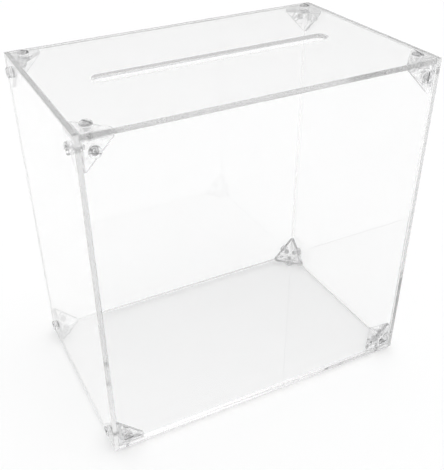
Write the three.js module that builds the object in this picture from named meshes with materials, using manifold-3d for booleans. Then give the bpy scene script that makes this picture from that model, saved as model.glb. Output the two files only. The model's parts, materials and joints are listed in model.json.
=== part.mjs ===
// A clear card box: six flat acrylic sheets, held together at each of the eight corners
// by a moulded bracket inside and three screws from outside, with a card slot in the lid.
// Lengths are in millimetres and +Z is up. The front faces -Y, and the origin lies on the
// surface that the box stands on, under the middle of the box.
import * as THREE from 'three';
import { mergeVertices } from 'three/addons/utils/BufferGeometryUtils.js';
import Module from 'manifold-3d';

const wasm = await Module();
wasm.setup();

// Size over the sheets, without the screw heads that stand out of them
const boxWidth = 255;
const boxDepth = 160;
const boxHeight = 254;

// Acrylic sheets
const sheetThickness = 3.2;
const seamClearance = 0.3; // between the edge of one sheet and the face of the next

// Card slot through the lid, with round ends
const slotWidth = 13;
const slotSideMargin = 37.5; // from each side face of the box to the slot's nearer end
const slotForward = 1.5; // from the middle of the lid to the middle of the slot, towards the front

// Corner brackets: three plates at right angles, each a triangle with blunt tips
const plateThickness = 2.5;
const plateRim = 3.1; // material between a screw hole and the plate's sloping edge
const seatClearance = 0.2; // between a sheet and what lies flat against it

// Pan head screws with a straight driver slot
const shankDiameter = 4;
const shankChamfer = 0.5;
const headDiameter = 8;
const headHeight = 2.4;
const headRimHeight = 1;
const headCrownWidth = 1.4; // how far the rounded shoulder reaches in from the rim
const driverSlotWidth = 1.1;
const driverSlotDepth = 1.1;
const tipProjection = 1.9; // how far a screw's tip stands out of the bracket's plate
const tipClearance = 1.4; // between a screw's tip and the side of its neighbour's shank
const holeClearance = 0.3; // round a shank in its holes
const screwTurn = THREE.MathUtils.degToRad(137.5); // each screw ends up turned by this from the last

// Facets
const roundSegments = 16;

// Sizes that follow from those above
const shankRadius = shankDiameter / 2;
const headRadius = headDiameter / 2;
const holeRadius = shankRadius + holeClearance;
const headStandOut = seatClearance + headHeight;
const tipReach = seatClearance + plateThickness + tipProjection; // past a sheet's inner face
const shankLength = seatClearance + sheetThickness + tipReach;
const screwInset = tipReach + shankRadius + tipClearance; // from the inner faces to a screw's axis
const innerWidth = boxWidth - 2 * sheetThickness;
const innerDepth = boxDepth - 2 * sheetThickness;
const innerHeight = boxHeight - 2 * sheetThickness;
const middleHeight = headStandOut + boxHeight / 2;

// Finishes
const acrylic = new THREE.MeshStandardMaterial({
  color: 0xf3f7f7,
  roughness: 0.04,
  metalness: 0,
  transparent: true,
  opacity: 0.3,
});
const bracketPlastic = new THREE.MeshStandardMaterial({
  color: 0xeef1f4,
  roughness: 0.08,
  metalness: 0,
  transparent: true,
  opacity: 0.5,
});
const screwPlastic = new THREE.MeshStandardMaterial({
  color: 0xe6eaee,
  roughness: 0.1,
  metalness: 0,
  transparent: true,
  opacity: 0.6,
});

// The sides of the box along each axis, from low to high
const sides = {
  x: ['left', 'right'],
  y: ['front', 'back'],
  z: ['bottom', 'top'],
};

function signOf(axis, side) {
  return sides[axis].indexOf(side) * 2 - 1;
}

function sideFacing(direction) {
  const axis = Object.keys(sides).find((name) => Math.abs(direction[name]) > 0.5);
  return sides[axis][direction[axis] > 0 ? 1 : 0];
}

function toSolid(geometry) {
  const bare = geometry.clone();
  bare.deleteAttribute('normal');
  bare.deleteAttribute('uv');
  const merged = mergeVertices(bare);
  const mesh = new wasm.Mesh({
    numProp: 3,
    vertProperties: merged.attributes.position.array,
    triVerts: new Uint32Array(merged.index.array),
  });
  return new wasm.Manifold(mesh);
}

function toGeometry(solid) {
  const mesh = solid.getMesh();
  const shared = new THREE.BufferGeometry();
  shared.setAttribute('position', new THREE.BufferAttribute(mesh.vertProperties, 3));
  shared.setIndex(new THREE.BufferAttribute(mesh.triVerts, 1));
  const geometry = shared.toNonIndexed();
  geometry.computeVertexNormals();
  return geometry;
}

function extrude(shape, depth) {
  return new THREE.ExtrudeGeometry(shape, {
    depth,
    bevelEnabled: false,
    curveSegments: roundSegments / 2,
  });
}

function roundHole(x, y) {
  const hole = new THREE.Path();
  hole.absarc(x, y, holeRadius, 0, 2 * Math.PI);
  return hole;
}

// A sheet centred on the origin in XY, with a screw hole near each of its corners.
// The inner sizes are those of the box's hollow along the sheet's two sides.
function sheetShape(width, height, innerAcross, innerUp) {
  const shape = new THREE.Shape();
  shape.moveTo(-width / 2, -height / 2);
  shape.lineTo(width / 2, -height / 2);
  shape.lineTo(width / 2, height / 2);
  shape.lineTo(-width / 2, height / 2);
  shape.closePath();
  const holeX = innerAcross / 2 - screwInset;
  const holeY = innerUp / 2 - screwInset;
  for (const x of [-holeX, holeX]) {
    for (const y of [-holeY, holeY]) {
      shape.holes.push(roundHole(x, y));
    }
  }
  return shape;
}

function sheetMesh(name, shape) {
  const geometry = extrude(shape, sheetThickness);
  geometry.translate(0, 0, -sheetThickness / 2);
  const mesh = new THREE.Mesh(geometry, acrylic);
  mesh.name = name;
  return mesh;
}

function cardSlot() {
  const radius = slotWidth / 2;
  const reach = boxWidth / 2 - slotSideMargin - radius;
  const slot = new THREE.Path();
  slot.absarc(reach, -slotForward, radius, -Math.PI / 2, Math.PI / 2);
  slot.absarc(-reach, -slotForward, radius, Math.PI / 2, 1.5 * Math.PI);
  slot.closePath();
  return slot;
}

// The side sheets take the full depth and height of the box. The top and bottom lie between
// them, and the front and back stand between all four.
function sheets() {
  const group = new THREE.Group();
  const acrossWidth = innerWidth - 2 * seamClearance;
  const betweenHeight = innerHeight - 2 * seamClearance;

  for (const side of sides.x) {
    const panel = sheetMesh(`${side}_panel`, sheetShape(boxDepth, boxHeight, innerDepth, innerHeight));
    panel.rotation.set(Math.PI / 2, Math.PI / 2, 0);
    panel.position.set((signOf('x', side) * (boxWidth - sheetThickness)) / 2, 0, middleHeight);
    group.add(panel);
  }
  for (const side of sides.y) {
    const panel = sheetMesh(`${side}_panel`, sheetShape(acrossWidth, betweenHeight, innerWidth, innerHeight));
    panel.rotation.x = Math.PI / 2;
    panel.position.set(0, (signOf('y', side) * (boxDepth - sheetThickness)) / 2, middleHeight);
    group.add(panel);
  }
  for (const side of sides.z) {
    const shape = sheetShape(acrossWidth, boxDepth, innerWidth, innerDepth);
    if (side === 'top') {
      shape.holes.push(cardSlot());
    }
    const panel = sheetMesh(`${side}_panel`, shape);
    panel.position.z = middleHeight + (signOf('z', side) * (boxHeight - sheetThickness)) / 2;
    group.add(panel);
  }
  return group;
}

// One bracket in the positive octant, with its outer corner at the origin
function bracketGeometry() {
  const holePlace = screwInset - seatClearance;
  const slopeSum = 2 * holePlace + Math.SQRT2 * (holeRadius + plateRim);
  const leg = slopeSum - plateThickness;
  const shape = new THREE.Shape();
  shape.moveTo(0, 0);
  shape.lineTo(leg, 0);
  shape.lineTo(leg, plateThickness);
  shape.lineTo(plateThickness, leg);
  shape.lineTo(0, leg);
  shape.closePath();
  shape.holes.push(roundHole(holePlace, holePlace));
  const plate = extrude(shape, plateThickness);

  const [x, y, z] = [0, 1, 2].map((index) => new THREE.Vector3().setComponent(index, 1));
  const nextAxes = new THREE.Matrix4().makeBasis(y, z, x);
  const second = plate.clone().applyMatrix4(nextAxes);
  const third = second.clone().applyMatrix4(nextAxes);
  return toGeometry(toSolid(plate).add(toSolid(second)).add(toSolid(third)));
}

// One screw along +Z, head up, with the underside of its head at the origin
function screwGeometry() {
  const profile = [
    new THREE.Vector2(0, -shankLength),
    new THREE.Vector2(shankRadius - shankChamfer, -shankLength),
    new THREE.Vector2(shankRadius, shankChamfer - shankLength),
    new THREE.Vector2(shankRadius, 0),
    new THREE.Vector2(headRadius, 0),
  ];
  const shoulder = new THREE.EllipseCurve(
    headRadius - headCrownWidth,
    headRimHeight,
    headCrownWidth,
    headHeight - headRimHeight,
    0,
    Math.PI / 2,
  );
  profile.push(...shoulder.getPoints(roundSegments / 4));
  profile.push(new THREE.Vector2(0, headHeight));
  const turned = new THREE.LatheGeometry(profile, roundSegments);
  turned.rotateX(Math.PI / 2);

  const driverSlot = new THREE.BoxGeometry(2 * headDiameter, driverSlotWidth, 2 * driverSlotDepth);
  driverSlot.translate(0, 0, headHeight);
  return toGeometry(toSolid(turned).subtract(toSolid(driverSlot)));
}

// Each corner is a group with its origin where the inner faces of three sheets meet,
// turned so that its positive octant is the inside of the box.
function corners() {
  const group = new THREE.Group();
  const bracket = bracketGeometry();
  const screw = screwGeometry();
  const diagonal = new THREE.Vector3(1, 1, 1).normalize();
  const thirdTurn = (2 * Math.PI) / 3;
  const outOfSheet = new THREE.Vector3(0, 0, -1);
  let screwCount = 0;

  for (const up of sides.z) {
    for (const deep of sides.y) {
      for (const across of sides.x) {
        const [x, y, z] = [signOf('x', across), signOf('y', deep), signOf('z', up)];
        const corner = new THREE.Group();
        corner.rotation.set(z > 0 ? Math.PI : 0, 0, Math.atan2(-y, -x) + (z * Math.PI) / 4, 'ZYX');
        corner.position.set((x * innerWidth) / 2, (y * innerDepth) / 2, middleHeight + (z * innerHeight) / 2);
        group.add(corner);

        const seated = new THREE.Mesh(bracket, bracketPlastic);
        seated.name = `bracket_${up}_${deep}_${across}`;
        seated.position.setScalar(seatClearance);
        corner.add(seated);

        for (const turn of [0, thirdTurn, 2 * thirdTurn]) {
          const holder = new THREE.Group();
          holder.quaternion.setFromAxisAngle(diagonal, turn);
          corner.add(holder);

          const outward = outOfSheet.clone().applyQuaternion(holder.quaternion);
          const side = sideFacing(outward.applyQuaternion(corner.quaternion));
          const place = [up, deep, across].filter((word) => word !== side);
          const driven = new THREE.Mesh(screw, screwPlastic);
          driven.name = `${side}_screw_${place.join('_')}`;
          driven.rotation.set(Math.PI, 0, screwCount * screwTurn);
          driven.position.set(screwInset, screwInset, -sheetThickness - seatClearance);
          holder.add(driven);
          screwCount += 1;
        }
      }
    }
  }
  return group;
}

const cardBox = new THREE.Group();
cardBox.add(sheets(), corners());

export default cardBox;
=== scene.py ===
"""Looks of a clear card box: acrylic sheets, corner brackets and screws of clear plastic.

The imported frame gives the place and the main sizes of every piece. Each piece is modelled
again here with the fine edges, rounds and threads of the real one, and gets a clear finish.
Pieces are modelled in millimetres and brought to metres when they are done. +Z is up and the
front of the box faces -Y.
"""
import itertools
import json
import logging
import math
from collections.abc import Callable, Iterator
from dataclasses import dataclass, field
from enum import Enum
from functools import partial

import bpy
from mathutils import Matrix, Vector


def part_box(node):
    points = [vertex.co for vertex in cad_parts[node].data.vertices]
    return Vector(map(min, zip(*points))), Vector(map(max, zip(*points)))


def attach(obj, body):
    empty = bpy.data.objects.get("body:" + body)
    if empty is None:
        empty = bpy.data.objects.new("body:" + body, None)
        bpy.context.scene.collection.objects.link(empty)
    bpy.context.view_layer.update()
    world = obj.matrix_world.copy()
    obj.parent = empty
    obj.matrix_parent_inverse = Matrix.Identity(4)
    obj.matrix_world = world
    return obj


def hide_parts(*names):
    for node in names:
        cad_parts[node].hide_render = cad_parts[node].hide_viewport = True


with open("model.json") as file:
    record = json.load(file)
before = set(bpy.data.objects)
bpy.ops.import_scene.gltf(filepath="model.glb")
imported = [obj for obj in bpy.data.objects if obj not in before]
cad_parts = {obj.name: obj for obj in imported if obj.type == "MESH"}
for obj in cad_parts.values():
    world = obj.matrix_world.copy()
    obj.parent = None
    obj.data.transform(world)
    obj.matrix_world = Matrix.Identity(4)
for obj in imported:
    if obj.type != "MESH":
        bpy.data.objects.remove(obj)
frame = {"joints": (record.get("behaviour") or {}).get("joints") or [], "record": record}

MILLIMETRE = 0.001
TO_METRES = Matrix.Scale(MILLIMETRE, 4)
WELD_DISTANCE = 1e-4
FLAT_FACE = 0.9  # the least that the normal of a flat face has along its axis
UP = Vector((0.0, 0.0, 1.0))
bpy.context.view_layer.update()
LOG = logging.getLogger("card_box")

Colour = tuple[float, float, float, float]
Span = tuple[float, float]
Bands = tuple[Span, ...]
Socket = bpy.types.NodeSocket
Feed = Socket | float | Vector | Colour
UNIT: Span = (0.0, 1.0)


class Side(Enum):
    """The sides of the box, each with the axis that it faces along and which way."""

    LEFT = (0, -1)
    RIGHT = (0, 1)
    FRONT = (1, -1)
    BACK = (1, 1)
    BOTTOM = (2, -1)
    TOP = (2, 1)

    @property
    def axis(self) -> int:
        """The index of the axis that the side faces along."""
        return self.value[0]

    @property
    def sign(self) -> int:
        """1 where the side faces along its axis, and -1 where it faces against it."""
        return self.value[1]

    @property
    def word(self) -> str:
        """The side's name as it stands in the names of pieces."""
        return self.name.lower()

    @property
    def outward(self) -> Vector:
        """The direction that the side faces."""
        direction = Vector()
        direction[self.axis] = self.sign
        return direction

    @classmethod
    def facing(cls, direction: Vector) -> "Side":
        """Finds the side that faces most nearly along a direction.

        Args:
            direction: Any direction along one of the axes.

        Returns:
            The side that faces that way.
        """
        return max(cls, key=lambda side: side.outward.dot(direction))


class Cut(Enum):
    """What a Boolean modifier does with its tool."""

    OFF = "DIFFERENCE"
    JOIN = "UNION"
    KEEP_INSIDE = "INTERSECT"


class Slot(Enum):
    """The record's material slots."""

    ACRYLIC = "acrylic_sheet"
    BRACKET = "bracket_plastic"
    SCREW = "screw_plastic"


class Mark(Enum):
    """The numbers that faces carry for their finish to read."""

    # Share of the cut-edge finish: roughness as cut, and painted shade that greys the edge.
    CUT_EDGE = "cut_edge"
    STEEP = "steep"


class Blend(Enum):
    """What a Mix node mixes, with the places of its two inputs and of its result."""

    NUMBERS = ("FLOAT", 2, 3, 0)
    COLOURS = ("RGBA", 6, 7, 2)


def take(piece: bpy.types.Object) -> None:
    """Makes a piece the active object and the only selected one.

    Args:
        piece: The piece.
    """
    bpy.ops.object.select_all(action="DESELECT")
    piece.select_set(True)
    bpy.context.view_layer.objects.active = piece


def apply_place() -> None:
    """Moves the active object's place, turn and size into its mesh."""
    bpy.ops.object.transform_apply(location=True, rotation=True, scale=True)


def add_block(low: Vector, high: Vector) -> bpy.types.Object:
    """Adds a block between two corners.

    Args:
        low: The lowest corner.
        high: The highest corner.

    Returns:
        The block, at the origin, with its place in its mesh.
    """
    bpy.ops.object.select_all(action="DESELECT")
    bpy.ops.mesh.primitive_cube_add(size=1.0, location=(low + high) / 2)
    block = bpy.context.object
    block.scale = high - low
    apply_place()
    return block


def add_rod(
    centre: Vector, along: Vector, radius: float, length: float, sides: int
) -> bpy.types.Object:
    """Adds a round rod.

    Args:
        centre: The middle of the rod.
        along: The direction of its axis.
        radius: Its radius.
        length: Its length.
        sides: How many flat sides stand for the round.

    Returns:
        The rod, at the origin, with its place in its mesh.
    """
    bpy.ops.object.select_all(action="DESELECT")
    bpy.ops.mesh.primitive_cylinder_add(
        vertices=sides,
        radius=radius,
        depth=length,
        location=centre,
        rotation=along.to_track_quat("Z", "Y").to_euler(),
    )
    apply_place()
    return bpy.context.object


def apply_modifier(piece: bpy.types.Object, modifier: bpy.types.Modifier) -> None:
    """Applies one of a piece's modifiers to its mesh."""
    take(piece)
    bpy.ops.object.modifier_apply(modifier=modifier.name)


def combine(piece: bpy.types.Object, tool: bpy.types.Object, cut: Cut) -> None:
    """Cuts or joins a piece with another, which is used up.

    Args:
        piece: The piece that is changed.
        tool: The piece that it is cut by or joined to, and that is then deleted.
        cut: What is done.
    """
    modifier = piece.modifiers.new("cut", "BOOLEAN")
    modifier.operation = cut.value
    modifier.solver = "EXACT"
    modifier.object = tool
    apply_modifier(piece, modifier)
    mesh = tool.data
    bpy.data.objects.remove(tool)
    bpy.data.meshes.remove(mesh)


def round_edges(piece: bpy.types.Object, width: float, segments: int, angle: float) -> None:
    """Rounds every edge of a piece that is sharper than an angle.

    Args:
        piece: The piece.
        width: How far the rounding reaches from each edge.
        segments: The number of steps round an edge.
        angle: The angle between two faces from which their edge is rounded.
    """
    modifier = piece.modifiers.new("round", "BEVEL")
    modifier.width = width
    modifier.segments = segments
    modifier.limit_method = "ANGLE"
    modifier.angle_limit = angle
    apply_modifier(piece, modifier)


def edit(piece: bpy.types.Object, mode: str) -> None:
    """Opens a piece in edit mode with nothing selected.

    Args:
        piece: The piece.
        mode: VERT, EDGE or FACE, for what is to be selected.
    """
    take(piece)
    bpy.ops.object.mode_set(mode="EDIT")
    bpy.ops.mesh.select_mode(type=mode)
    bpy.ops.mesh.select_all(action="DESELECT")


def select_edges(piece: bpy.types.Object, wanted: Callable[[Vector, Vector], bool]) -> None:
    """Opens a piece in edit mode with some of its edges selected.

    Args:
        piece: The piece.
        wanted: Says of an edge's two ends whether the edge is selected.
    """
    edit(piece, "EDGE")
    bpy.ops.object.mode_set(mode="OBJECT")
    points = piece.data.vertices
    for edge in piece.data.edges:
        edge.select = wanted(*(points[index].co for index in edge.vertices))
    bpy.ops.object.mode_set(mode="EDIT")


def select_faces(piece: bpy.types.Object, wanted: Callable[[Vector, Vector], bool]) -> None:
    """Opens a piece in edit mode with some of its faces selected.

    Args:
        piece: The piece.
        wanted: Says of a face's centre and normal whether the face is selected.
    """
    edit(piece, "FACE")
    bpy.ops.object.mode_set(mode="OBJECT")
    for face in piece.data.polygons:
        face.select = wanted(face.center, face.normal)
    bpy.ops.object.mode_set(mode="EDIT")


def close_edit() -> None:
    """Goes back to object mode."""
    bpy.ops.object.mode_set(mode="OBJECT")


def weld(piece: bpy.types.Object) -> None:
    """Merges a piece's doubled points and turns its faces outwards.

    Args:
        piece: The piece.
    """
    edit(piece, "VERT")
    bpy.ops.mesh.select_all(action="SELECT")
    bpy.ops.mesh.remove_doubles(threshold=WELD_DISTANCE)
    bpy.ops.mesh.normals_make_consistent(inside=False)
    close_edit()


def slice_off(piece: bpy.types.Object, point: Vector, outward: Vector) -> None:
    """Cuts a piece flat, and closes the cut.

    Args:
        piece: The piece.
        point: A point of the cut.
        outward: The direction in which everything past the cut is taken away.
    """
    edit(piece, "FACE")
    bpy.ops.mesh.select_all(action="SELECT")
    normal = outward.normalized()
    bpy.ops.mesh.bisect(plane_co=point, plane_no=normal, use_fill=True, clear_outer=True)
    close_edit()


def tidy_mesh(piece: bpy.types.Object, smooth_angle: float) -> None:
    """Merges doubled points, turns faces outwards and shades a finished piece.

    Args:
        piece: The piece.
        smooth_angle: The angle between two faces up to which they shade as one.
    """
    weld(piece)
    take(piece)
    bpy.ops.object.shade_smooth_by_angle(angle=smooth_angle)


def mark_faces(
    piece: bpy.types.Object, mark: Mark, value: Callable[[Vector, Vector], float]
) -> None:
    """Gives each face of a piece a number that its finish reads.

    Args:
        piece: The piece.
        mark: Which number.
        value: Gives the number from a face's centre and normal.
    """
    numbers = piece.data.attributes.new(mark.value, "FLOAT", "FACE")
    for face, cell in zip(piece.data.polygons, numbers.data):
        cell.value = value(face.center, face.normal)


def copy_piece(model: bpy.types.Object, name: str, place: Matrix) -> bpy.types.Object:
    """Copies a modelled piece, with a mesh of its own, to its place.

    Args:
        model: The piece that is copied.
        name: The copy's name.
        place: Where the copy goes in the box, in millimetres, which is written into its mesh.

    Returns:
        The copy, at the origin.
    """
    take(model)
    bpy.ops.object.duplicate(linked=False)
    piece = bpy.context.object
    piece.name = name
    piece.data.name = name
    piece.data.transform(TO_METRES @ place)
    return piece


def remove_model(model: bpy.types.Object) -> None:
    """Deletes a piece that was only there to be copied."""
    take(model)
    bpy.ops.object.delete()


def body_of(node: str) -> str:
    """Finds the body that a CAD node belongs to.

    Args:
        node: The node's name.

    Returns:
        The body's name.
    """
    bodies = frame["record"]["behaviour"]["bodies"]
    return next(body for body, members in bodies.items() if node in members)


def stand_for(piece: bpy.types.Object, node: str, material: bpy.types.Material) -> None:
    """Puts a finished piece in the place of a CAD node.

    Args:
        piece: The finished piece.
        node: The node that it stands for.
        material: Its finish.
    """
    piece.data.materials.clear()
    piece.data.materials.append(material)
    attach(piece, body_of(node))
    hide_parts(node)
    LOG.info("%s stands for %s with %d faces", piece.name, node, len(piece.data.polygons))


class NodeBench:
    """The nodes of a material or of the world, with short calls that add and join them."""

    def __init__(self, tree: bpy.types.NodeTree) -> None:
        """Starts with no nodes.

        Args:
            tree: The tree that the nodes go into.
        """
        self.tree = tree
        self.tree.nodes.clear()

    def add(self, kind: str, **inputs: Feed) -> bpy.types.Node:
        """Adds a node.

        Args:
            kind: The node's type.
            **inputs: A value or a socket for each input, with _ for a space in its name.

        Returns:
            The node.
        """
        node = self.tree.nodes.new(kind)
        for name, value in inputs.items():
            self.feed(node.inputs[name.replace("_", " ")], value)
        return node

    def feed(self, socket: Socket, value: Feed) -> None:
        """Links an input to another socket, or sets its value.

        Args:
            socket: The input.
            value: The other socket, or the value.
        """
        if isinstance(value, Socket):
            self.tree.links.new(value, socket)
        else:
            socket.default_value = value

    def spread(self, value: Socket, span: Span = UNIT, to_span: Span = UNIT) -> Socket:
        """Adds a node that maps one range to another.

        Args:
            value: The socket that is mapped.
            span: The start and the end of the range that it has.
            to_span: What they become.

        Returns:
            The mapped output socket.
        """
        low, high = span
        to_low, to_high = to_span
        node = self.add(
            "ShaderNodeMapRange",
            Value=value,
            From_Min=low,
            From_Max=high,
            To_Min=to_low,
            To_Max=to_high,
        )
        return node.outputs["Result"]

    def blend(self, kind: Blend, factor: Feed, first: Feed, second: Feed) -> Socket:
        """Adds a node that mixes two numbers or two colours.

        Args:
            kind: What is mixed.
            factor: How much of the second there is.
            first: The first number or colour, or its socket.
            second: The second one, or its socket.

        Returns:
            The mixed output socket.
        """
        node = self.add("ShaderNodeMix")
        node.data_type, first_place, second_place, result_place = kind.value
        self.feed(node.inputs[0], factor)
        self.feed(node.inputs[first_place], first)
        self.feed(node.inputs[second_place], second)
        return node.outputs[result_place]

    def vector_math(self, operation: str, *values: Feed) -> bpy.types.Node:
        """Adds a node that works on vectors.

        Args:
            operation: What it does with them.
            *values: A vector or a socket for each input.

        Returns:
            The node.
        """
        node = self.add("ShaderNodeVectorMath")
        node.operation = operation
        for socket, value in zip(node.inputs, values):
            self.feed(socket, value)
        return node


class MaterialBench(NodeBench):
    """The nodes of a new material, whose patterns lie on the piece's own coordinates."""

    def __init__(self, name: str) -> None:
        """Starts an empty material.

        Args:
            name: The material's name.
        """
        self.material = bpy.data.materials.new(name)
        self.material.use_nodes = True
        super().__init__(self.material.node_tree)
        self.place = self.add("ShaderNodeTexCoord").outputs["Object"]

    def squeeze(self, stretch: Vector) -> Socket:
        """Adds a node that squeezes the piece's coordinates.

        Args:
            stretch: How much closer a pattern lies along each axis.

        Returns:
            The socket of the squeezed coordinates.
        """
        node = self.add("ShaderNodeMapping", Vector=self.place, Scale=stretch)
        return node.outputs["Vector"]

    def noise(self, place: Socket, scale: float, detail: float) -> Socket:
        """Adds a noise pattern.

        Args:
            place: The socket of the coordinates that it lies on.
            scale: Waves in a metre.
            detail: How many finer layers lie over the main one.

        Returns:
            The pattern's output socket, from 0 to 1.
        """
        node = self.add("ShaderNodeTexNoise", Vector=place, Scale=scale, Detail=detail)
        return node.outputs["Fac"]

    def mark(self, mark: Mark) -> Socket:
        """Adds a node that reads a number from the faces.

        Args:
            mark: Which number.

        Returns:
            The number's socket.
        """
        node = self.add("ShaderNodeAttribute")
        node.attribute_name = mark.value
        return node.outputs["Fac"]

    def bumps(self, height: Socket, strength: float, full_height: float) -> Socket:
        """Adds a node that makes a surface uneven.

        Args:
            height: The socket of the pattern of high and low places.
            strength: How much of the pattern shows.
            full_height: How high a place stands where the pattern is 1, in metres.

        Returns:
            The socket of the uneven surface's normal.
        """
        node = self.add("ShaderNodeBump", Strength=strength, Distance=full_height, Height=height)
        return node.outputs["Normal"]

    def clear_plastic(
        self,
        ior: float,
        tint: Socket,
        roughness: Socket,
        normal: Socket,
        depth_tint: Colour,
        depth_density: float,
    ) -> bpy.types.Material:
        """Ends the nodes in a clear plastic.

        Args:
            ior: The plastic's index of refraction.
            tint: The socket of the colour that its surface lets through.
            roughness: The socket of its roughness.
            normal: The socket of its surface's normal.
            depth_tint: The colour that a long way through it takes on.
            depth_density: How fast it does so, in a metre.

        Returns:
            The finished material.
        """
        shader = self.add(
            "ShaderNodeBsdfPrincipled",
            Base_Color=tint,
            Roughness=roughness,
            Normal=normal,
            IOR=ior,
            Transmission_Weight=1.0,
        )
        depth = self.add("ShaderNodeVolumeAbsorption", Color=depth_tint, Density=depth_density)
        self.add(
            "ShaderNodeOutputMaterial",
            Surface=shader.outputs["BSDF"],
            Volume=depth.outputs["Volume"],
        )
        return self.material


@dataclass(frozen=True)
class AcrylicFinish:
    """Cast acrylic sheet: clear faces with a faint haze and hairlines, and cut edges that are rough
    as cut and greyed by painted shade.
    """

    ior: float = 1.49
    face_clear: Colour = (0.994, 0.994, 0.994, 1.0)
    face_hazy: Colour = (0.980, 0.981, 0.981, 1.0)
    # Painted shade: greys the cut edges, standing in for the dark that they show by bending light
    # along the sheets.
    edge_light: Colour = (0.64, 0.64, 0.64, 1.0)
    edge_dark: Colour = (0.58, 0.58, 0.58, 1.0)
    depth_tint: Colour = (0.0, 0.01, 0.01, 1.0)
    depth_density: float = 0.36
    face_roughness: Span = (0.003, 0.012)
    edge_roughness: Span = (0.2, 0.3)
    haze_scale: float = 11.0
    haze_detail: float = 3.0
    hairline_scale: float = 34.0
    hairline_detail: float = 9.0
    hairline_stretch: tuple[float, float, float] = (1.0, 9.0, 3.0)
    hairline_span: Span = (0.60, 0.66)
    striation_scale: float = 1500.0
    striation_detail: float = 2.0
    striation_span: Span = (0.3, 0.7)
    bump_strength: float = 0.35
    bump_height: float = 0.0004 * MILLIMETRE

    def material(self) -> bpy.types.Material:
        """Makes the material.

        Returns:
            The material of all six sheets.
        """
        bench = MaterialBench("clear_acrylic")
        on_edge = bench.mark(Mark.CUT_EDGE)
        haze = bench.noise(bench.place, self.haze_scale, self.haze_detail)
        striations = bench.noise(bench.place, self.striation_scale, self.striation_detail)
        squeezed = bench.squeeze(Vector(self.hairline_stretch))
        hairlines = bench.noise(squeezed, self.hairline_scale, self.hairline_detail)
        scratches = bench.spread(hairlines, self.hairline_span)

        face_tint = bench.blend(Blend.COLOURS, haze, self.face_clear, self.face_hazy)
        # Painted shade on the cut edges, paler and deeper along the striations.
        edge_painted_shade = bench.blend(Blend.COLOURS, striations, self.edge_light, self.edge_dark)
        face_rough = bench.spread(scratches, to_span=self.face_roughness)
        edge_rough = bench.spread(striations, self.striation_span, self.edge_roughness)
        height = bench.blend(Blend.NUMBERS, on_edge, scratches, striations)
        return bench.clear_plastic(
            ior=self.ior,
            tint=bench.blend(Blend.COLOURS, on_edge, face_tint, edge_painted_shade),
            roughness=bench.blend(Blend.NUMBERS, on_edge, face_rough, edge_rough),
            normal=bench.bumps(height, self.bump_strength, self.bump_height),
            depth_tint=self.depth_tint,
            depth_density=self.depth_density,
        )


@dataclass(frozen=True)
class MouldedFinish:
    """Clear injection-moulded plastic with the soft gloss of the mould, flow marks darkened into
    painted sparkle, and painted shade on its steep faces.
    """

    name: str
    ior: float
    clear_tint: Colour
    # Painted light: the flow tint darkens the flow marks into painted sparkle, and the steep tint
    # is painted shade on faces that bend light away from sight.
    flow_tint: Colour
    steep_tint: Colour
    roughness: Span
    flow_scale: float
    grain_scale: float
    bump_height: float
    bump_strength: float = 0.5
    depth_tint: Colour = (0.08, 0.09, 0.1, 1.0)
    depth_density: float = 2.5
    flow_detail: float = 1.0
    flow_span: Span = (0.57, 0.66)
    grain_detail: float = 2.0
    grain_span: Span = (0.3, 0.7)
    grain_share: float = 0.35

    def material(self) -> bpy.types.Material:
        """Makes the material.

        Returns:
            The moulded plastic's material.
        """
        bench = MaterialBench(self.name)
        flow = bench.noise(bench.place, self.flow_scale, self.flow_detail)
        grain = bench.noise(bench.place, self.grain_scale, self.grain_detail)
        # Flow marks darkened into painted sparkle; painted shade on the steep faces.
        flow_marks_and_sparkle = bench.spread(flow, self.flow_span)
        flat_tint = bench.blend(Blend.COLOURS, flow_marks_and_sparkle, self.clear_tint, self.flow_tint)
        height = bench.blend(Blend.NUMBERS, self.grain_share, flow, grain)
        return bench.clear_plastic(
            ior=self.ior,
            tint=bench.blend(Blend.COLOURS, bench.mark(Mark.STEEP), flat_tint, self.steep_tint),
            roughness=bench.spread(grain, self.grain_span, self.roughness),
            normal=bench.bumps(height, self.bump_strength, self.bump_height),
            depth_tint=self.depth_tint,
            depth_density=self.depth_density,
        )


# Each plastic's flow tint is painted sparkle and its steep tint is painted shade.
BRACKET_PLASTIC = MouldedFinish(
    name="clear_bracket_plastic",
    ior=1.58,
    clear_tint=(0.99, 0.99, 0.992, 1.0),
    flow_tint=(0.8, 0.8, 0.805, 1.0),
    steep_tint=(0.42, 0.42, 0.425, 1.0),
    roughness=(0.0, 0.02),
    flow_scale=420.0,
    grain_scale=700.0,
    bump_height=0.05 * MILLIMETRE,
)
SCREW_PLASTIC = MouldedFinish(
    name="clear_screw_plastic",
    ior=1.53,
    clear_tint=(0.985, 0.985, 0.988, 1.0),
    flow_tint=(0.7, 0.7, 0.705, 1.0),
    steep_tint=(0.1, 0.1, 0.102, 1.0),
    roughness=(0.0, 0.025),
    flow_scale=560.0,
    grain_scale=1400.0,
    bump_height=0.03 * MILLIMETRE,
)


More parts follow.
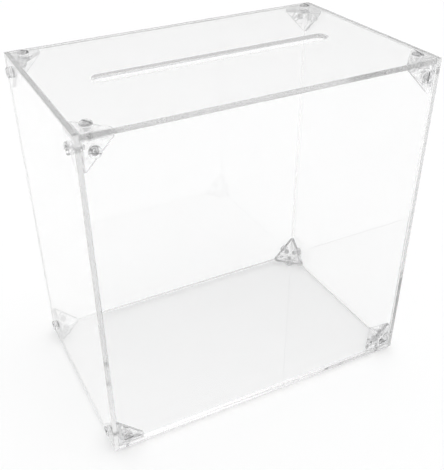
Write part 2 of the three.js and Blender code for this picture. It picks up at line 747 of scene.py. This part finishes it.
@dataclass(frozen=True)
class BoxPlan:
    """Where the sheets, brackets and screws lie, in millimetres."""

    low: Vector
    high: Vector
    thickness: float
    screw_inset: float
    seat: float
    leg: float
    hole_radius: float = 2.3

    @classmethod
    def read(cls) -> "BoxPlan":
        """Reads the plan from the frame.

        Returns:
            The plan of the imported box.
        """
        left_low, left_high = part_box("left_panel")
        _, right_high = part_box("right_panel")
        thickness = left_high.x - left_low.x
        joint = next(joint for joint in frame["joints"] if joint["child"] == "lid_screw_front_left")
        screw_axis = Vector(joint["pos_m"])
        bracket_low, bracket_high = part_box("bracket_bottom_front_left")
        return cls(
            low=left_low / MILLIMETRE,
            high=Vector((right_high.x, left_high.y, left_high.z)) / MILLIMETRE,
            thickness=thickness / MILLIMETRE,
            screw_inset=(screw_axis.x - left_high.x) / MILLIMETRE,
            seat=(bracket_low.x - left_high.x) / MILLIMETRE,
            leg=(bracket_high.x - bracket_low.x) / MILLIMETRE,
        )

    def inner(self, axis: int, sign: int) -> float:
        """Gives where an inner face of the box lies.

        Args:
            axis: The axis that the face is square to.
            sign: Which of the two faces across that axis.

        Returns:
            Its place along the axis.
        """
        if sign < 0:
            return self.low[axis] + self.thickness
        return self.high[axis] - self.thickness

    def screw_line(self, axis: int, sign: int) -> float:
        """Gives where the screws near an inner face lie along an axis.

        Args:
            axis: The axis.
            sign: Which end of the axis.

        Returns:
            Their place along the axis.
        """
        return self.inner(axis, sign) - sign * self.screw_inset

    def corners(self) -> Iterator[tuple[tuple[Side, Side, Side], Matrix]]:
        """Goes over the corners in the order in which the screws are turned.

        Yields:
            The three sides that meet there, and the place of a corner whose positive octant
            is the inside of the box.
        """
        ends = ((Side.BOTTOM, Side.TOP), (Side.FRONT, Side.BACK), (Side.LEFT, Side.RIGHT))
        for up, deep, across in itertools.product(*ends):
            point = Vector(self.inner(side.axis, side.sign) for side in (across, deep, up))
            heading = math.atan2(-deep.sign, -across.sign) + up.sign * math.pi / 4
            turn = Matrix.Rotation(heading, 4, "Z")
            if up is Side.TOP:
                turn = turn @ Matrix.Rotation(math.pi, 4, "X")
            yield (up, deep, across), Matrix.Translation(point) @ turn


@dataclass
class SheetSet:
    """The six acrylic sheets, with their screw holes, the card slot and eased edges."""

    plan: BoxPlan
    material: bpy.types.Material
    hole_sides: int = 40
    slot_width: float = 13.0
    slot_side_margin: float = 37.5
    slot_forward: float = 1.5
    slot_end_steps: int = 28
    slot_end_share: float = 0.9999
    edge_ease: float = 0.1
    edge_steps: int = 2
    sharp_angle: float = math.radians(50)
    smooth_angle: float = math.radians(15)
    # Shares of the cut-edge finish on the slot's walls, the bottom sheet's faces and each sheet's
    # outer edges: roughness as cut, and painted shade, darkest on the lid's edges and palest on the
    # bottom sheet.
    slot_satin: float = 0.05
    scuffed: dict[Side, float] = field(default_factory=lambda: {Side.BOTTOM: 0.05})
    edge_satin: dict[Side, float] = field(
        default_factory=lambda: {
            Side.LEFT: 0.5,
            Side.RIGHT: 0.5,
            Side.FRONT: 0.3,
            Side.BACK: 0.3,
            Side.BOTTOM: 0.05,
            Side.TOP: 1.0,
        }
    )

    def build(self) -> None:
        """Models and dresses each sheet."""
        for side in Side:
            piece = self.blank(side)
            self.drill(piece, side)
            if side is Side.TOP:
                combine(piece, self.slot_cutter(), Cut.OFF)
            round_edges(piece, self.edge_ease, self.edge_steps, self.sharp_angle)
            tidy_mesh(piece, self.smooth_angle)
            piece.data.transform(TO_METRES)
            mark_faces(piece, Mark.CUT_EDGE, partial(self.satin, side))
            stand_for(piece, f"{side.word}_panel", self.material)

    def blank(self, side: Side) -> bpy.types.Object:
        """Cuts a sheet to its outer size.

        Args:
            side: The side of the box that the sheet closes.

        Returns:
            The bare sheet.
        """
        low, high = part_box(f"{side.word}_panel")
        piece = add_block(low / MILLIMETRE, high / MILLIMETRE)
        piece.name = f"{side.word}_sheet"
        piece.data.name = piece.name
        return piece

    def drill(self, piece: bpy.types.Object, side: Side) -> None:
        """Drills the four screw holes of a sheet.

        Args:
            piece: The sheet.
            side: The side of the box that it closes.
        """
        across = [axis for axis in range(3) if axis != side.axis]
        middle = self.plan.inner(side.axis, side.sign) + side.sign * self.plan.thickness / 2
        length = 2 * self.plan.thickness
        for signs in itertools.product((-1, 1), repeat=2):
            centre = Vector()
            centre[side.axis] = middle
            for axis, sign in zip(across, signs):
                centre[axis] = self.plan.screw_line(axis, sign)
            drill = add_rod(centre, side.outward, self.plan.hole_radius, length, self.hole_sides)
            combine(piece, drill, Cut.OFF)

    def slot_cutter(self) -> bpy.types.Object:
        """Makes the cutter of the card slot, a block with round ends.

        Returns:
            The cutter, in its place.
        """
        radius = self.slot_width / 2
        depth = self.plan.thickness
        left = self.plan.low.x + self.slot_side_margin
        right = self.plan.high.x - self.slot_side_margin
        front, back = -self.slot_forward - radius, -self.slot_forward + radius
        under, over = self.plan.high.z - 2 * depth, self.plan.high.z + depth
        cutter = add_block(Vector((left, front, under)), Vector((right, back, over)))
        select_edges(cutter, lambda first, second: abs(first.z - second.z) > depth)
        full_round = radius * self.slot_end_share
        bpy.ops.mesh.bevel(offset=full_round, segments=self.slot_end_steps, affect="EDGES")
        close_edit()
        return cutter

    def satin(self, side: Side, centre: Vector, normal: Vector) -> float:
        """Says how much of the cut-edge finish a face of a sheet gets: roughness as cut, and
        painted shade.

        Args:
            side: The side of the box that the sheet closes.
            centre: The face's centre.
            normal: The face's normal.

        Returns:
            0 on a polished face, and up to 1 on an edge that is rough as cut and greyed by painted
            shade.
        """
        if abs(normal[side.axis]) > FLAT_FACE:
            return self.scuffed.get(side, 0.0)
        outer = any(
            abs(centre[axis] - limit[axis]) < self.plan.thickness * MILLIMETRE
            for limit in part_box(f"{side.word}_panel")
            for axis in range(3)
            if axis != side.axis
        )
        return self.edge_satin[side] if outer else self.slot_satin


@dataclass
class CornerBrackets:
    """The eight moulded corner brackets: three triangular plates with blunt tips."""

    plan: BoxPlan
    material: bpy.types.Material
    plate: float = 2.5
    hole_sides: int = 32
    edge_round: float = 0.2
    edge_steps: int = 3
    sharp_angle: float = math.radians(40)
    smooth_angle: float = math.radians(35)
    slope_normal: float = 0.7
    slope_fade: float = 0.15

    def build(self) -> None:
        """Models one bracket and sets a copy of it in each corner."""
        model = self.model()
        seated = Matrix.Translation(Vector((self.plan.seat,) * 3))
        for sides, corner in self.plan.corners():
            place = "_".join(side.word for side in sides)
            piece = copy_piece(model, f"clear_bracket_{place}", corner @ seated)
            stand_for(piece, f"bracket_{place}", self.material)
        remove_model(model)

    def model(self) -> bpy.types.Object:
        """Models a bracket in the positive octant, with its outer corner at the origin.

        Returns:
            The bracket.
        """
        leg = self.plan.leg
        piece = add_block(Vector(), Vector((leg,) * 3))
        hollow = add_block(Vector((self.plate,) * 3), Vector((2 * leg,) * 3))
        combine(piece, hollow, Cut.OFF)
        hole_place = self.plan.screw_inset - self.plan.seat
        length = 4 * self.plate
        for axis in range(3):
            first, second = (other for other in range(3) if other != axis)
            along, slope, tip, centre = (Vector() for _ in range(4))
            along[axis] = 1.0
            slope[first] = slope[second] = 1.0
            tip[first], tip[second] = leg, self.plate
            slice_off(piece, tip, slope)
            centre[first] = centre[second] = hole_place
            drill = add_rod(centre, along, self.plan.hole_radius, length, self.hole_sides)
            combine(piece, drill, Cut.OFF)
        round_edges(piece, self.edge_round, self.edge_steps, self.sharp_angle)
        tidy_mesh(piece, self.smooth_angle)
        mark_faces(piece, Mark.STEEP, self.steepness)
        return piece

    def steepness(self, centre: Vector, normal: Vector) -> float:
        """Says how much of what passes a face of the bracket is bent away from sight.

        Args:
            centre: The face's centre.
            normal: The face's normal.

        Returns:
            1 on the sloping edges and the blunt tips, and 0 on the flat faces.
        """
        tip = max(centre) > self.plan.leg - self.edge_round
        slope = max(0.0, 1 - (max(map(abs, normal)) - self.slope_normal) / self.slope_fade)
        return 1.0 if tip else min(1.0, slope)


@dataclass
class PanScrews:
    """The twenty-four clear screws: a slotted pan head on a threaded shank."""

    plan: BoxPlan
    material: bpy.types.Material
    head_radius: float = 4.0
    head_height: float = 2.4
    rim_height: float = 1.0
    crown_width: float = 1.4
    crown_steps: int = 7
    head_sides: int = 48
    slot_width: float = 1.1
    slot_depth: float = 1.1
    edge_round: float = 0.12
    edge_steps: int = 2
    sharp_angle: float = math.radians(45)
    smooth_angle: float = math.radians(32)
    shank_radius: float = 2.0
    shank_length: float = 8.0
    tip_chamfer: float = 0.5
    pitch: float = 1.6
    thread_depth: float = 0.6
    crest: float = 0.2
    turn_steps: int = 20
    spare_turns: int = 2
    envelope_share: float = 1.01
    screw_turn: float = math.radians(137.5)
    flank_shade: float = 0.6
    flank_normal: Span = (-0.95, -0.3)
    shoulder_fade: float = 2.0

    def build(self) -> None:
        """Models one screw and drives a copy of it into each hole."""
        model = self.model()
        count = itertools.count()
        diagonal = Vector((1.0, 1.0, 1.0))
        inset = self.plan.screw_inset
        head_seat = Matrix.Translation((inset, inset, -self.plan.thickness - self.plan.seat))
        head_out = Matrix.Rotation(math.pi, 4, "X")
        for sides, corner in self.plan.corners():
            for step in range(3):
                holder = corner @ Matrix.Rotation(step * math.tau / 3, 4, diagonal)
                driven = head_out @ Matrix.Rotation(next(count) * self.screw_turn, 4, "Z")
                side = Side.facing(holder.to_3x3() @ -UP)
                place = "_".join(other.word for other in sides if other is not side)
                seated = holder @ head_seat @ driven
                piece = copy_piece(model, f"pan_screw_{side.word}_{place}", seated)
                stand_for(piece, f"{side.word}_screw_{place}", self.material)
        remove_model(model)

    def model(self) -> bpy.types.Object:
        """Models a screw along +Z, head up, with the underside of its head at the origin.

        Returns:
            The screw.
        """
        piece = self.head()
        combine(piece, self.threaded_rod(), Cut.JOIN)
        tidy_mesh(piece, self.smooth_angle)
        mark_faces(piece, Mark.STEEP, self.steepness)
        return piece

    def steepness(self, centre: Vector, normal: Vector) -> float:
        """Says how much of what passes a face of the screw is bent away from sight.

        Args:
            centre: The face's centre.
            normal: The face's normal.

        Returns:
            1 on the walls of the driver slot and round the foot of the head, less on its
            shoulder and on the lower flanks of the thread, and 0 elsewhere.
        """
        if centre.z < WELD_DISTANCE:
            lowest, highest = self.flank_normal
            return self.flank_shade if lowest < normal.z < highest else 0.0
        if centre.z < self.edge_round:
            return 1.0
        if centre.z < self.rim_height:
            return 0.0
        return max(0.0, 1 - self.shoulder_fade * abs(normal.z))

    def head(self) -> bpy.types.Object:
        """Models the pan head and its driver slot.

        Returns:
            The head.
        """
        middle = self.rim_height / 2 * UP
        piece = add_rod(middle, UP, self.head_radius, self.rim_height, self.head_sides)
        select_faces(piece, lambda centre, normal: normal.z > FLAT_FACE)
        radius, height = self.head_radius, self.rim_height
        for step in range(1, self.crown_steps + 1):
            angle = step / self.crown_steps * math.pi / 2
            next_radius = self.head_radius - self.crown_width * (1 - math.cos(angle))
            next_height = self.rim_height + (self.head_height - self.rim_height) * math.sin(angle)
            rise = (0.0, 0.0, next_height - height)
            bpy.ops.mesh.extrude_region_move(TRANSFORM_OT_translate={"value": rise})
            scale = next_radius / radius
            ring_centre = (0.0, 0.0, next_height)
            bpy.ops.transform.resize(value=(scale, scale, 1.0), center_override=ring_centre)
            radius, height = next_radius, next_height
        close_edit()

        reach = 2 * self.head_radius
        low = Vector((-reach, -self.slot_width / 2, self.head_height - self.slot_depth))
        high = Vector((reach, self.slot_width / 2, self.head_height + self.slot_depth))
        combine(piece, add_block(low, high), Cut.OFF)
        round_edges(piece, self.edge_round, self.edge_steps, self.sharp_angle)
        return piece

    def threaded_rod(self) -> bpy.types.Object:
        """Models the shank with its thread and the chamfer at its tip.

        Returns:
            The shank, which reaches a little into the head.
        """
        into_head = self.rim_height / 2
        piece = self.thread(-self.shank_length - self.pitch, self.rim_height)
        length = self.shank_length + into_head
        middle = (into_head - length / 2) * UP
        just_outside = self.shank_radius * self.envelope_share
        envelope = add_rod(middle, UP, just_outside, length, self.head_sides)
        tip = -self.shank_length + self.tip_chamfer / 2
        select_edges(envelope, lambda first, second: max(first.z, second.z) < tip)
        bpy.ops.mesh.bevel(offset=self.tip_chamfer, segments=1, affect="EDGES")
        close_edit()
        combine(piece, envelope, Cut.KEEP_INSIDE)
        return piece

    def thread(self, bottom: float, top: float) -> bpy.types.Object:
        """Winds the profile of one turn up the axis and closes both ends flat.

        Args:
            bottom: Where the thread starts.
            top: Where it ends.

        Returns:
            The thread, as a closed rod.
        """
        root = self.shank_radius - self.thread_depth
        flank = (self.pitch - self.crest) / 2
        start = bottom - self.spare_turns * self.pitch
        bpy.ops.object.select_all(action="DESELECT")
        bpy.ops.mesh.primitive_plane_add(size=1.0)
        piece = bpy.context.object
        select_edges(piece, lambda first, second: first.x < 0 and second.x < 0)
        bpy.ops.mesh.delete(type="EDGE")
        close_edit()
        profile = {
            (-1, -1): (root, 0.0),
            (1, -1): (self.shank_radius, flank),
            (1, 1): (self.shank_radius, flank + self.crest),
            (-1, 1): (root, self.pitch),
        }
        for point in piece.data.vertices:
            corner = (math.copysign(1, point.co.x), math.copysign(1, point.co.y))
            radius, rise = profile[corner]
            point.co = (radius, 0.0, start + rise)

        winding = piece.modifiers.new("winding", "SCREW")
        winding.axis = "Z"
        winding.screw_offset = self.pitch
        winding.iterations = math.ceil((top - bottom) / self.pitch) + 2 * self.spare_turns
        winding.steps = self.turn_steps
        winding.render_steps = self.turn_steps
        winding.use_merge_vertices = True
        winding.merge_threshold = WELD_DISTANCE
        apply_modifier(piece, winding)
        weld(piece)
        slice_off(piece, bottom * UP, -UP)
        slice_off(piece, top * UP, UP)
        weld(piece)
        return piece


@dataclass
class Studio:
    """A pale floor, soft light from all round and the camera at the photograph's angle."""

    floor_width: float = 12.0
    floor_colour: Colour = (0.97, 0.97, 0.97, 1.0)
    seen_colour: Colour = (1.0, 1.0, 1.0, 1.0)
    sky_bands: Bands = (
        (0.0, 1.25),
        (0.26, 1.1),
        (0.46, 0.1),
        (0.62, 0.1),
        (0.74, 1.25),
        (1.0, 1.6),
    )
    backdrop_bands: Bands = (
        (0.0, 1.2),
        (0.26, 0.8),
        (0.42, 0.82),
        (0.54, 0.5),
        (0.71, 1.15),
        (0.866, 1.45),
        (1.0, 1.6),
    )
    backdrop_heading: float = math.radians(35)
    backdrop_edge: float = -0.3
    eye: Vector = field(default_factory=lambda: Vector((-0.21600, -0.42398, 0.41591)))
    heading: float = math.radians(24.986)
    fall: float = math.radians(35.167)
    roll: float = math.radians(1.619)
    lens: float = 53.738
    sensor: float = 36.0
    shift: Span = (0.0523, 0.0644)
    clip_start: float = 0.01
    light_bounces: int = 200
    lamp_place: Vector = field(default_factory=lambda: Vector((0.8, -0.64, 6.0)))
    lamp_width: float = 2.8
    lamp_power: float = 15.0

    def build(self) -> None:
        """Sets up the floor, the light and the camera."""
        self.lay_floor()
        self.light_sky()
        self.hang_lamp()
        self.set_camera()
        scene = bpy.context.scene
        scene.view_settings.view_transform = "Standard"
        scene.cycles.max_bounces = self.light_bounces
        scene.cycles.glossy_bounces = self.light_bounces
        scene.cycles.transmission_bounces = self.light_bounces
        scene.cycles.blur_glossy = 0.0

    def lay_floor(self) -> None:
        """Lays a plain pale floor under the box."""
        bpy.ops.object.select_all(action="DESELECT")
        bpy.ops.mesh.primitive_plane_add(size=self.floor_width)
        floor = bpy.context.object
        floor.name = "studio_floor"
        material = bpy.data.materials.new("studio_floor")
        material.use_nodes = True
        shader = material.node_tree.nodes["Principled BSDF"]
        shader.inputs["Base Color"].default_value = self.floor_colour
        shader.inputs["Roughness"].default_value = 1.0
        shader.inputs["Specular IOR Level"].default_value = 0.0
        floor.data.materials.append(material)

    def light_sky(self) -> None:
        """Lights the scene from a broad soft light overhead and a pale backdrop."""
        world = bpy.data.worlds.new("studio")
        bpy.context.scene.world = world
        world.use_nodes = True
        bench = NodeBench(world.node_tree)
        direction = bench.add("ShaderNodeTexCoord").outputs["Generated"]
        height = bench.add("ShaderNodeSeparateXYZ", Vector=direction).outputs["Z"]
        all_round = self.ramp(bench, height, self.sky_bands)
        backdrop = self.ramp(bench, height, self.backdrop_bands)

        level = bench.vector_math("MULTIPLY", direction, Vector((1.0, 1.0, 0.0)))
        unit = bench.vector_math("NORMALIZE", level.outputs["Vector"])
        towards = Vector((math.sin(self.backdrop_heading), math.cos(self.backdrop_heading), 0.0))
        facing = bench.vector_math("DOT_PRODUCT", unit.outputs["Vector"], towards)
        share = bench.add(
            "ShaderNodeMapRange", Value=facing.outputs["Value"], From_Min=self.backdrop_edge
        )
        share.interpolation_type = "SMOOTHSTEP"
        mixed = bench.blend(Blend.COLOURS, share.outputs["Result"], all_round, backdrop)

        sky = bench.add("ShaderNodeBackground", Color=mixed)
        seen = bench.add("ShaderNodeBackground", Color=self.seen_colour)
        path = bench.add("ShaderNodeLightPath")
        chosen = bench.add("ShaderNodeMixShader", Fac=path.outputs["Is Camera Ray"])
        bench.feed(chosen.inputs[1], sky.outputs["Background"])
        bench.feed(chosen.inputs[2], seen.outputs["Background"])
        bench.add("ShaderNodeOutputWorld", Surface=chosen.outputs["Shader"])

    def ramp(self, bench: NodeBench, height: Socket, bands: Bands) -> Socket:
        """Adds a ramp of brightness from the horizon to the zenith.

        Args:
            bench: The world's nodes.
            height: The height of a direction, from 0 at the horizon to 1 overhead.
            bands: Heights, each with the brightness there.

        Returns:
            The ramp's output socket.
        """
        node = bench.add("ShaderNodeValToRGB", Fac=height)
        stops = node.color_ramp.elements
        stops.remove(stops[1])
        stops[0].position = bands[0][0]
        for stop_height, _ in bands[1:]:
            stops.new(stop_height)
        for stop, (_, brightness) in zip(stops, bands):
            stop.color = (brightness, brightness, brightness, 1.0)
        return node.outputs["Color"]

    def hang_lamp(self) -> None:
        """Hangs a weak broad lamp over the box, for the soft shadow round its foot."""
        bpy.ops.object.select_all(action="DESELECT")
        bpy.ops.object.light_add(
            type="AREA",
            location=self.lamp_place,
            rotation=self.lamp_place.to_track_quat("Z", "Y").to_euler(),
        )
        lamp = bpy.context.object
        lamp.name = "studio_lamp"
        lamp.data.shape = "DISK"
        lamp.data.size = self.lamp_width
        lamp.data.energy = self.lamp_power
        lamp.visible_glossy = False
        lamp.visible_transmission = False

    def set_camera(self) -> None:
        """Sets the camera where the photograph was taken from."""
        turn = (
            Matrix.Rotation(-self.heading, 4, "Z")
            @ Matrix.Rotation(math.pi / 2 - self.fall, 4, "X")
            @ Matrix.Rotation(-self.roll, 4, "Z")
        )
        bpy.ops.object.camera_add()
        camera = bpy.context.object
        camera.name = "camera"
        camera.matrix_world = Matrix.Translation(self.eye) @ turn
        camera.data.lens = self.lens
        camera.data.sensor_width = self.sensor
        camera.data.shift_x, camera.data.shift_y = self.shift
        camera.data.clip_start = self.clip_start
        bpy.context.scene.camera = camera


def main() -> None:
    """Builds the studio and every piece of the box."""
    logging.basicConfig(level=logging.INFO, format="%(message)s")
    plan = BoxPlan.read()
    Studio().build()
    SheetSet(plan, AcrylicFinish().material()).build()
    CornerBrackets(plan, BRACKET_PLASTIC.material()).build()
    PanScrews(plan, SCREW_PLASTIC.material()).build()


if __name__ == "__main__":
    main()
